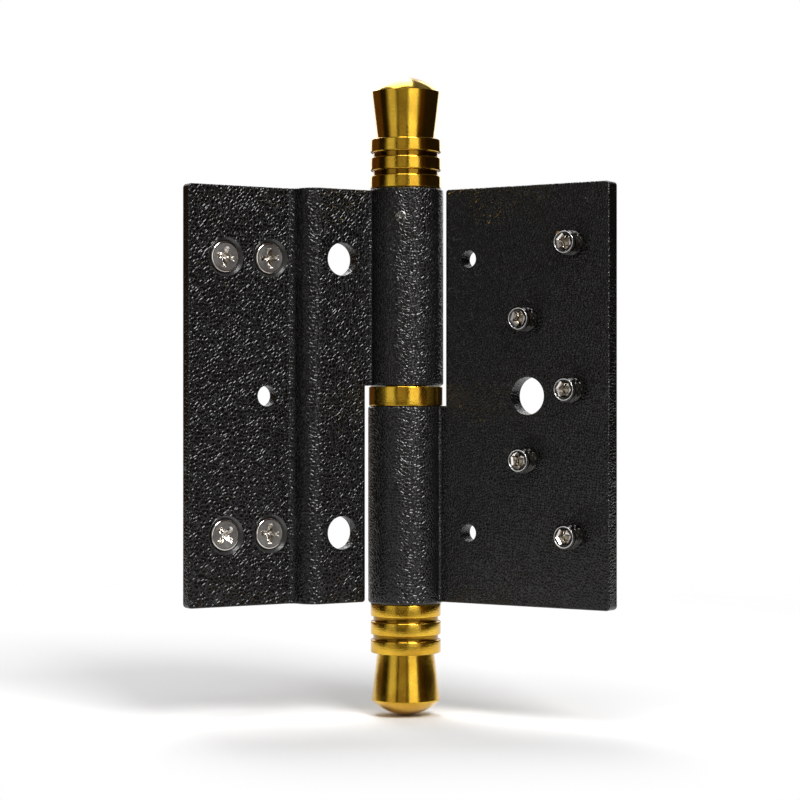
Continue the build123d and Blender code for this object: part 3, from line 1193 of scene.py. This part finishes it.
@dataclass
class CoatedSteel:
    """The coated leaves and knuckles, with the paint that fills their seams and the weld beads."""

    barrel_r: float = 9.2
    face_setback: float = 1.0
    seam_reach: float = 0.75
    seam_share: float = 0.98
    seam_root: float = 0.3
    seam_foot: float = 0.2
    seam_steps: int = 40
    weld_r: float = 1.55
    weld_inset: float = 1.2
    weld_step: float = 0.17
    weld_cap: float = 0.1
    weld_lean: float = 0.6
    weld_end: float = 0.02
    weld_segments: int = 40
    weld_waves: tuple[tuple[float, float, float], ...] = ((0.05, 0.9, 0.0), (0.04, 2.3, 1.0))
    ripple: float = 1.7
    ripple_height: float = 0.16
    ripple_bow: float = 0.75
    door_span: tuple[float, float] = (2.6, 49.7)
    frame_span: tuple[float, float] = (-49.7, -2.5)
    door_back: float = 4.0
    frame_back: float = 5.0

    def seam(self, name: str, side: Side, span: tuple[float, float]) -> bpy.types.Object:
        """The fillet of coating where a leaf's front face meets its knuckle.

        Args:
            name: name of the piece.
            side: which half of the hinge.
            span: its lower and upper height.

        Returns:
            The mesh object.
        """
        front = -self.face_setback
        corner_x = math.sqrt(self.barrel_r ** 2 - front ** 2)
        on_leaf = (corner_x + self.seam_reach, front)
        on_barrel_y = front + self.seam_reach
        on_barrel = (math.sqrt(self.barrel_r ** 2 - on_barrel_y ** 2), on_barrel_y)
        section = rounded((corner_x, front), on_leaf, on_barrel, self.seam_reach * self.seam_share, 6)
        section += [(corner_x - self.seam_root, front + self.seam_foot), (corner_x, front - self.seam_root),
                    (on_leaf[0], front - self.seam_foot)]
        mirror = -1.0 if side is Side.FRAME else 1.0
        shape = bmesh.new()
        to_frame = Places.TO_METRES @ Places.of(side)
        rows = []
        for step in range(self.seam_steps + 1):
            height = span[0] + (span[1] - span[0]) * step / self.seam_steps
            rows.append([shape.verts.new(to_frame @ Vector((x, y * mirror, height))) for x, y in section])
        count = len(section)
        for lower, upper in zip(rows, rows[1:]):
            for index in range(count):
                after = (index + 1) % count
                shape.faces.new((lower[index], lower[after], upper[after], upper[index]))
        shape.faces.new(rows[0])
        shape.faces.new(rows[-1])
        bmesh.ops.recalc_face_normals(shape, faces=shape.faces)
        return finished_object(name, shape, crease=40.0)

    def weld(self, name: str, side: Side, span: tuple[float, float], back: float) -> bpy.types.Object:
        """The rippled weld bead along a leaf's back.

        Args:
            name: name of the piece.
            side: which half of the hinge.
            span: lower and upper height of the joint.
            back: distance of the leaf's back face behind the pin axis.

        Returns:
            The mesh object.
        """
        behind = -back if side is Side.DOOR else back
        crevice = math.sqrt(self.barrel_r ** 2 - back ** 2)
        place = Places.of(side) @ Matrix.Translation((crevice, behind, 0.0))
        low, high = span[0] + self.weld_inset, span[1] - self.weld_inset
        stack = RingStack.round(self.weld_segments)
        steps = int((high - low) / self.weld_step)
        stack.close(low - self.weld_cap)
        for step in range(steps + 1):
            height = low + (high - low) * step / steps
            stack.add(self._bead(height, low, high, behind), height)
        stack.close(high + self.weld_cap)
        return stack.build(name, place, crease=60.0)

    def _bead(self, height: float, low: float, high: float, behind: float) -> Callable[[float], float]:
        """Radius of the bead over the angle: ripples that bow along the seam, round ends.

        Args:
            height: along the seam.
            low: lower end of the bead.
            high: upper end of the bead.
            behind: on which side of the pin axis the bead lies.

        Returns:
            A function from angle to radius.
        """
        outward = math.atan2(math.copysign(1.0, behind), self.weld_lean)
        ends = min(height - low, high - height)
        taper = math.sqrt(min(1.0, max(self.weld_end, ends / self.weld_r)))

        def radius(angle: float) -> float:
            """Radius of one ripple at an angle.

            Args:
                angle: in radians.

            Returns:
                The radius.
            """
            bow = self.ripple_bow * math.cos(angle - outward)
            phase = ((height - bow) / self.ripple) % 1.0
            ridge = math.sqrt(max(0.0, 1.0 - (2.0 * phase - 1.0) ** 2))
            wander = sum(size * math.sin(height * rate + start) for size, rate, start in self.weld_waves)
            return (self.weld_r - self.ripple_height + self.ripple_height * ridge + wander) * taper
        return radius

    def build(self, frame: dict, finishes: Finishes) -> None:
        """Dress the leaves and knuckles and add seams and welds.

        Args:
            frame: the loaded frame.
            finishes: the finishes of the hinge.
        """
        for node, material in (("door_leaf", finishes.coat), ("upper_knuckle", finishes.barrel_coat),
                               ("lower_knuckle", finishes.barrel_coat), ("frame_leaf", finishes.fine_coat)):
            dress(frame["nodes"][node], material)
            LOG.info("dressed %s", node)
        for side, leaf, span, back, material in (
                (Side.DOOR, "door_leaf", self.door_span, self.door_back, finishes.coat),
                (Side.FRAME, "frame_leaf", self.frame_span, self.frame_back, finishes.fine_coat)):
            settle(self.seam(f"{leaf}_seam", side, span), side.value, Slot.COAT, material)
            settle(self.weld(f"{leaf}_weld", side, span, back), side.value, Slot.COAT, finishes.coat)


@dataclass
class LockPins:
    """Two solid pins that hold the finials, ground flush with the knuckles."""

    barrel_r: float = 9.2
    pin_r: float = 1.4
    length: float = 8.0
    heights: tuple[float, float] = (43.3, -46.1)
    bearing: float = 50.0
    lead_in: float = 0.25
    end_rings: tuple[tuple[float, float], ...] = (
        (0.97, 0.07), (0.9, 0.02), (0.78, 0.0), (0.62, 0.0), (0.46, 0.01), (0.32, 0.0))
    edge_sink: float = 0.16
    mark_r: float = 0.35
    mark_sink: float = 0.01
    mark_depth: float = 0.45
    dent: float = 0.05
    segments: int = 40

    def surface(self, radius: float, sink: float) -> Callable[[float], float]:
        """Height of the barrel's skin over the angle, on a ring about the pin.

        Args:
            radius: radius of the ring.
            sink: how far below the skin the ring lies.

        Returns:
            A function from angle to height.
        """
        def height(angle: float) -> float:
            """Height at one angle, with the unevenness of a ground end.

            Args:
                angle: in radians.

            Returns:
                The height.
            """
            across = radius * math.sin(angle)
            waves = 0.3 * math.sin(2.0 * angle + 4.0 * radius) + 0.2 * math.sin(5.0 * angle)
            uneven = self.dent * (0.5 + waves)
            return math.sqrt(self.barrel_r ** 2 - across ** 2) - self.barrel_r - sink - uneven
        return height

    def pin(self, name: str, place: Matrix) -> bpy.types.Object:
        """Make one pin.

        Args:
            name: name of the piece.
            place: from the pin's outer end to the hinge's frame, +Z outwards.

        Returns:
            The mesh object.
        """
        stack = RingStack.round(self.segments)
        stack.close(-self.length)
        stack.add(self.pin_r - self.lead_in, -self.length)
        stack.add(self.pin_r, -self.length + self.lead_in)
        stack.add(self.pin_r, self.surface(self.pin_r, self.edge_sink))
        for share, sink in self.end_rings:
            stack.add(self.pin_r * share, self.surface(self.pin_r * share, sink))
        stack.add(self.mark_r, self.surface(self.mark_r, self.mark_sink))
        stack.close(-self.mark_depth)
        return stack.build(name, place, crease=50.0)

    def build(self, finishes: Finishes) -> None:
        """Make and place both pins: the upper one bare, the lower one under the coating.

        Args:
            finishes: the finishes of the hinge.
        """
        for side, name, height, turn, material in (
                (Side.DOOR, "upper_lock_pin", self.heights[0], self.bearing, finishes.spring),
                (Side.FRAME, "lower_lock_pin", self.heights[1], -self.bearing, finishes.barrel_coat)):
            place = (Places.of(side) @ Matrix.Translation((0, 0, height)) @ turned_about("Z", turn)
                     @ Matrix.Translation((self.barrel_r, 0, 0)) @ turned_about("Y", 90.0))
            settle(self.pin(f"{name}_ground", place), side.value, Slot.SPRING, material, node=name)


class BarrelInside:
    """Pieces inside the knuckles."""

    def build(self, frame: dict, finishes: Finishes) -> None:
        """Dress the pin and its bush.

        Args:
            frame: the loaded frame.
            finishes: the finishes of the hinge.
        """
        for node, material in (("hinge_pin", finishes.pin), ("upper_bush", finishes.bronze)):
            dress(frame["nodes"][node], material)
            LOG.info("dressed %s", node)


@dataclass
class PhotoCamera:
    """The camera, level with the thrust ring and to the right of the frame leaf's normal."""

    azimuth: float = 33.84
    distance: float = 0.5727
    lens: float = 105.3
    aside: float = -0.0014
    above: float = -0.00097

    def back(self, turn: float = 0.0) -> Vector:
        """Level direction from the pin to the camera, turned to its right by some degrees."""
        angle = math.radians(self.azimuth + turn)
        return Vector((math.sin(angle), -math.cos(angle), 0.0))

    def right(self) -> Vector:
        """Level direction to the camera's right."""
        return self.back(90.0)

    def build(self) -> None:
        """Make the camera and set it as the scene's own."""
        data = bpy.data.cameras.new("photo_camera")
        data.lens = self.lens
        data.sensor_width = 36.0
        data.sensor_fit = "HORIZONTAL"
        data.clip_start = 0.01
        camera = bpy.data.objects.new("photo_camera", data)
        camera.location = (Places.TO_METRES @ Places.PIN_AXIS + self.back() * self.distance
                           + self.right() * self.aside + Vector((0.0, 0.0, self.above)))
        camera.rotation_euler = (math.radians(90.0), 0.0, math.radians(self.azimuth))
        bpy.context.scene.collection.objects.link(camera)
        bpy.context.scene.camera = camera


@dataclass
class Lamp:
    """A soft rectangular lamp."""

    name: str
    turn: float
    distance: float
    height: float
    aim_height: float
    width: float
    tall: float
    radiance: float
    colour: Colour = (1.0, 1.0, 1.0)

    def build(self, view: PhotoCamera) -> None:
        """Make the lamp, facing the pin.

        Args:
            view: the camera whose direction the lamp's turn is counted from.
        """
        data = bpy.data.lights.new(self.name, "AREA")
        data.shape = "RECTANGLE"
        data.size, data.size_y = self.width, self.tall
        data.energy = self.radiance * math.pi * self.width * self.tall
        data.color = self.colour
        lamp = bpy.data.objects.new(self.name, data)
        pin = Places.TO_METRES @ Places.PIN_AXIS
        lamp.location = pin + view.back(self.turn) * self.distance + Vector((0.0, 0.0, self.height))
        aim = pin + Vector((0.0, 0.0, self.aim_height)) - lamp.location
        lamp.rotation_euler = aim.to_track_quat("-Z", "Y").to_euler()
        lamp.visible_camera = False
        bpy.context.scene.collection.objects.link(lamp)


@dataclass
class Studio:
    """A pale floor that runs up into a round wall, dark at both sides for the metal, with soft lamps."""

    floor_z: float = -0.0781
    floor_r: float = 1.5
    floor_rings: tuple[float, ...] = (0.05, 0.2, 0.5, 1.0)
    cove_r: float = 0.7
    cove_steps: int = 12
    wall_top: float = 2.2
    segments: int = 96
    pale: Colour = (0.82, 0.82, 0.82)
    middle: Colour = (0.22, 0.19, 0.14)
    flag: Colour = (0.05, 0.038, 0.03)
    warm: Colour = (0.32, 0.17, 0.07)
    dusk: Colour = (0.26, 0.105, 0.035)
    flag_left: tuple[float, float] = (-156.0, -66.0)
    flag_right: tuple[float, float] = (45.0, 156.0)
    band_left: float = -28.0
    band_key: float = 9.0
    flag_soft: float = 7.0
    floor_back: float = 0.15
    near_floor: tuple[float, float] = (0.2, 0.27)
    painted: float = 0.28
    dim_floor: tuple[float, float] = (0.9, 1.5)
    dim: float = 0.35
    back_wall: tuple[float, float] = (-2.15, -2.0)
    brush: float = 0.4
    brush_depth: float = 0.0001
    matt: tuple[float, float] = (0.85, 0.95)
    sheen: float = 0.1
    air: Colour = (0.95, 0.97, 1.0)
    ambient: float = 0.16

    def lamps(self) -> list[Lamp]:
        """The lamps: a tall key, fills, two from above and two for the back.

        Returns:
            The lamps, not yet built.
        """
        return [
            Lamp("key_panel", 27.0, 1.0, 0.16, 0.08, 0.56, 0.46, 1.2),
            Lamp("key_box", 26.0, 1.0, 0.84, 0.0, 0.47, 0.47, 20.0),
            Lamp("left_fill", -49.0, 1.0, 0.34, 0.15, 0.46, 0.85, 0.42),
            Lamp("front_fill", -12.0, 1.35, 0.3, 0.1, 0.7, 0.8, 0.28, (1.0, 0.9, 0.72)),
            Lamp("top_front", -12.0, 0.62, 0.98, 0.0, 0.48, 0.42, 6.0),
            Lamp("top_back", -168.0, 0.55, 0.75, 0.06, 0.4, 0.8, 5.0),
            Lamp("behind_left", -158.0, 1.1, 0.5, 0.1, 0.4, 0.8, 1.5),
            Lamp("behind_right", 158.0, 1.1, 0.5, 0.1, 0.4, 0.8, 1.5),
        ]

    def bearing_stops(self) -> list[tuple[float, Colour]]:
        """Paint of the wall by bearing, counted from the camera from -180 to 180 degrees.

        Returns:
            Position from 0 to 1 and colour of each stop.
        """
        soft = self.flag_soft
        turns = [
            (self.flag_left[0] - soft, self.pale),
            (self.flag_left[0], self.warm),
            (self.flag_left[1] - 5 * soft, self.warm),
            (self.flag_left[1] - 4 * soft, self.flag),
            (self.flag_left[1] - soft, self.flag),
            (self.flag_left[1], self.pale),
            (self.band_left - soft, self.pale),
            (self.band_left, self.middle),
            (self.band_key - soft, self.middle),
            (self.band_key, self.pale),
            (self.flag_right[0], self.pale),
            (self.flag_right[0] + soft, self.dusk),
            (self.flag_right[0] + 4 * soft, self.flag),
            (self.flag_right[1], self.flag),
            (self.flag_right[1] + soft, self.pale),
        ]
        return [((turn + 180.0) / 360.0, colour) for turn, colour in turns]

    def sweep_material(self, view: PhotoCamera) -> bpy.types.Material:
        """Matt paint that is white to the eye beyond the floor around the hinge.

        Args:
            view: the camera whose direction the wall's bearings are counted from.

        Returns:
            The material.
        """
        sheet = NodeSheet("studio_paint")
        ahead, aside = sheet.along(view.back()), sheet.along(view.right())
        bearing = sheet.spread(sheet.combine("ARCTAN2", aside, ahead), (-math.pi, math.pi), (0.0, 1.0))
        distance = self._distance(sheet, view)
        shaded = sheet.spread(distance, self.dim_floor, (self.dim, 1.0))
        wall = sheet.blend(shaded, BLACK, sheet.colours(bearing, self.bearing_stops()))
        away = sheet.spread(distance, (self.near_floor[1], self.painted), (0.0, 1.0))
        paint = sheet.blend(away, self.pale, wall)
        cloud = sheet.noise(self.brush, detail=2.0)
        sheet.fixed(Metallic=0.0, Specular_IOR_Level=self.sheen)
        rough = sheet.spread(cloud, NOISE_SPAN, self.matt)
        material = sheet.surface(paint, rough, sheet.relief(cloud, self.brush_depth))
        self._whiten(sheet, sheet.spread(distance, self.near_floor, (0.0, 1.0)), ahead)
        return material

    def _distance(self, sheet: NodeSheet, view: PhotoCamera) -> Socket:
        """Level distance of a point from the middle of the pale floor, which lies behind the pin.

        Args:
            sheet: the paint's nodes.
            view: the camera.

        Returns:
            The value socket, in metres.
        """
        node = sheet.tree.nodes.new("ShaderNodeVectorMath")
        node.operation = "LENGTH"
        middle = tuple(view.back(180.0) * self.floor_back)
        sheet.join(sheet.stretched((1.0, 1.0, 0.0), middle), node.inputs[0])
        return node.outputs["Value"]

    def _whiten(self, sheet: NodeSheet, far: Socket, ahead: Socket) -> None:
        """Make the far floor and wall white to the camera, and behind the hinge to gloss too.

        Args:
            sheet: the paint's nodes.
            far: value socket, 1 where the floor is far.
            ahead: value socket, distance towards the camera.
        """
        ray = sheet.tree.nodes.new("ShaderNodeLightPath").outputs
        behind = sheet.spread(ahead, self.back_wall, (1.0, 0.0))
        seen = sheet.combine("MAXIMUM", ray["Is Camera Ray"], ray["Is Transmission Ray"])
        mirrored = sheet.combine("MULTIPLY", ray["Is Glossy Ray"], behind)
        share = sheet.combine("MULTIPLY", far, sheet.combine("MAXIMUM", seen, mirrored))
        white = sheet.tree.nodes.new("ShaderNodeEmission")
        mix = sheet.tree.nodes.new("ShaderNodeMixShader")
        sheet.join(share, mix.inputs["Fac"])
        sheet.join(sheet.shader.outputs["BSDF"], mix.inputs[1])
        sheet.join(white.outputs["Emission"], mix.inputs[2])
        sheet.join(mix.outputs["Shader"], sheet.output.inputs["Surface"])
        sheet.material.cycles.emission_sampling = "NONE"

    def sweep(self) -> bpy.types.Object:
        """The floor, its cove and the wall, as one round skin.

        Returns:
            The mesh object.
        """
        stack = RingStack.round(self.segments)
        scale = 1000.0
        floor = self.floor_z * scale
        stack.close(floor)
        for radius in (*self.floor_rings, self.floor_r):
            stack.add(radius * scale, floor)
        for step in range(1, self.cove_steps + 1):
            angle = math.radians(90.0 * step / self.cove_steps)
            stack.add((self.floor_r + self.cove_r * math.sin(angle)) * scale,
                      floor + self.cove_r * (1.0 - math.cos(angle)) * scale)
        stack.add((self.floor_r + self.cove_r) * scale, self.wall_top * scale)
        return stack.build("studio_sweep", Matrix.Identity(4), crease=80.0)

    def build(self, view: PhotoCamera) -> None:
        """Make the sweep, the lamps and the dim world behind them.

        Args:
            view: the camera.
        """
        sweep = self.sweep()
        sweep.location = Places.TO_METRES @ Places.PIN_AXIS
        dress(sweep, self.sweep_material(view))
        for lamp in self.lamps():
            lamp.build(view)
        world = bpy.data.worlds.new("studio_air")
        world.use_nodes = True
        background = world.node_tree.nodes["Background"]
        background.inputs["Color"].default_value = (*self.air, 1.0)
        background.inputs["Strength"].default_value = self.ambient
        bpy.context.scene.world = world


def main() -> None:
    """Build every sub-assembly around the frame, then the studio and the camera."""
    logging.basicConfig(level=logging.INFO, format="%(name)s: %(message)s")
    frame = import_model()
    view = PhotoCamera()
    view.build()
    finishes = Finishes()
    CoatedSteel().build(frame, finishes)
    BarrelInside().build(frame, finishes)
    LockPins().build(finishes)
    BarrelBrass().build(finishes)
    DoorScrews().build(finishes)
    JackScrews().build(finishes)
    Studio().build(view)
    bpy.context.scene.view_settings.view_transform = "Standard"


if __name__ == "__main__":
    main()
